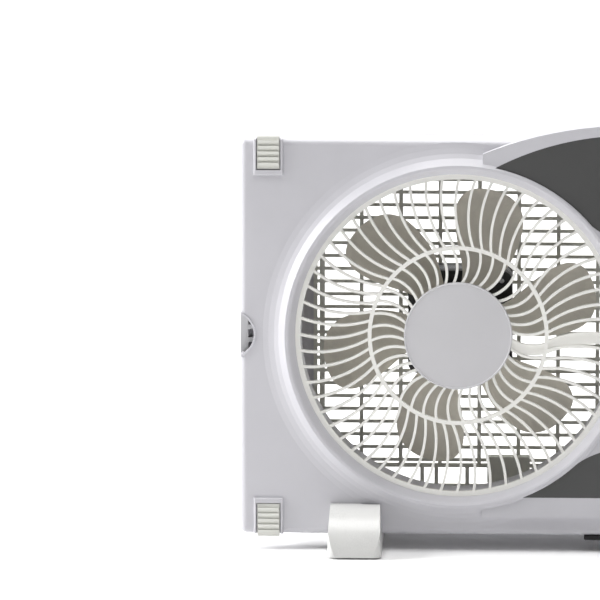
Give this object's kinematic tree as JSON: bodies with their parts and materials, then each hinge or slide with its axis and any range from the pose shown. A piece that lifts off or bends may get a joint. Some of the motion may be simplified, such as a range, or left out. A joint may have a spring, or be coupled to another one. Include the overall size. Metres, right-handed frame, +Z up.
{
  "type": "twin window fan",
  "caption": "Shallow white case with two round swirl-ribbed fan openings side by side, dark trim panels, corner lock sliders, side extender panels and two feet.",
  "frame": {"origin": "on the floor under the middle of the fan's outline", "axes": "+Z up, -Y towards the front (the side with the dark trim and the buttons), +X to the right seen from the front"},
  "size_m": [0.594, 0.155, 0.3295],
  "materials": {
    "case": "satin",
    "grille": "satin",
    "trim": "satin",
    "disc": "satin",
    "rear_grille": "matt",
    "blade": "satin",
    "motor_case": "satin",
    "lamination": "satin",
    "copper": "gloss",
    "steel": "satin",
    "bronze": "satin",
    "foot": "satin",
    "rubber": "matt",
    "lock": "satin",
    "extender": "satin",
    "button": "satin",
    "lens": "gloss",
    "board": "satin",
    "capacitor": "gloss",
    "black_plastic": "satin"
  },
  "bodies": {
    "housing": {"front_housing": "case", "rear_housing": "case", "upper_trim_panel": "trim", "lower_trim_panel": "trim", "indicator_lenses": "lens", "control_board": "board", "run_capacitor": "capacitor", "cord_gland": "black_plastic", "case_screws": "steel", "foot_screws": "steel", "sill_pad": "rubber", "front_grille_left": "grille", "grille_disc_left": "disc", "rear_grille_left": "rear_grille", "terminal_cover_left": "rear_grille", "motor_front_cover_left": "motor_case", "motor_rear_cover_left": "motor_case", "motor_front_bearing_left": "bronze", "motor_rear_bearing_left": "bronze", "motor_stator_left": "lamination", "motor_coils_left": "copper", "motor_bolts_left": "steel", "foot_left": "foot", "foot_pads_left": "rubber", "front_grille_right": "grille", "grille_disc_right": "disc", "rear_grille_right": "rear_grille", "terminal_cover_right": "rear_grille", "motor_front_cover_right": "motor_case", "motor_rear_cover_right": "motor_case", "motor_front_bearing_right": "bronze", "motor_rear_bearing_right": "bronze", "motor_stator_right": "lamination", "motor_coils_right": "copper", "motor_bolts_right": "steel", "foot_right": "foot", "foot_pads_right": "rubber"},
    "fan_left": {"impeller_left": "blade", "impeller_nut_left": "black_plastic", "motor_shaft_left": "steel", "motor_rotor_left": "lamination"},
    "fan_right": {"impeller_right": "blade", "impeller_nut_right": "black_plastic", "motor_shaft_right": "steel", "motor_rotor_right": "lamination"},
    "extender_left": {"extender_panel_left": "extender"},
    "extender_right": {"extender_panel_right": "extender"},
    "lock_top_left": {"lock_slider_top_left": "lock"},
    "lock_top_right": {"lock_slider_top_right": "lock"},
    "lock_bottom_left": {"lock_slider_bottom_left": "lock"},
    "lock_bottom_right": {"lock_slider_bottom_right": "lock"},
    "power_key": {"power_button": "button"},
    "speed_key": {"speed_button": "button"},
    "mode_key": {"mode_button": "button"}
  },
  "joints": [
    {"name": "fan_left_spin", "type": "hinge", "parent": "housing", "child": "fan_left", "pos_m": [-0.1305, 0.0325, 0.1665], "axis": [0, 1, 0], "continuous": true},
    {"name": "fan_right_spin", "type": "hinge", "parent": "housing", "child": "fan_right", "pos_m": [0.1305, 0.0325, 0.1665], "axis": [0, 1, 0], "continuous": true},
    {"name": "extender_left_slide", "type": "slide", "parent": "housing", "child": "extender_left", "axis": [-1, 0, 0], "range_m": [0, 0.03]},
    {"name": "extender_right_slide", "type": "slide", "parent": "housing", "child": "extender_right", "axis": [1, 0, 0], "range_m": [0, 0.03]},
    {"name": "lock_top_left_slide", "type": "slide", "parent": "housing", "child": "lock_top_left", "axis": [0, 0, 1], "range_m": [0, 0.005]},
    {"name": "lock_top_right_slide", "type": "slide", "parent": "housing", "child": "lock_top_right", "axis": [0, 0, 1], "range_m": [0, 0.005]},
    {"name": "lock_bottom_left_slide", "type": "slide", "parent": "housing", "child": "lock_bottom_left", "axis": [0, 0, -1], "range_m": [0, 0.005]},
    {"name": "lock_bottom_right_slide", "type": "slide", "parent": "housing", "child": "lock_bottom_right", "axis": [0, 0, -1], "range_m": [0, 0.005]},
    {"name": "power_press", "type": "slide", "parent": "housing", "child": "power_key", "axis": [0, 1, 0], "range_m": [0, 0.0012], "stiffness_N_per_m": 400},
    {"name": "speed_press", "type": "slide", "parent": "housing", "child": "speed_key", "axis": [0, 1, 0], "range_m": [0, 0.0012], "stiffness_N_per_m": 400},
    {"name": "mode_press", "type": "slide", "parent": "housing", "child": "mode_key", "axis": [0, 1, 0], "range_m": [0, 0.0012], "stiffness_N_per_m": 400}
  ]
}
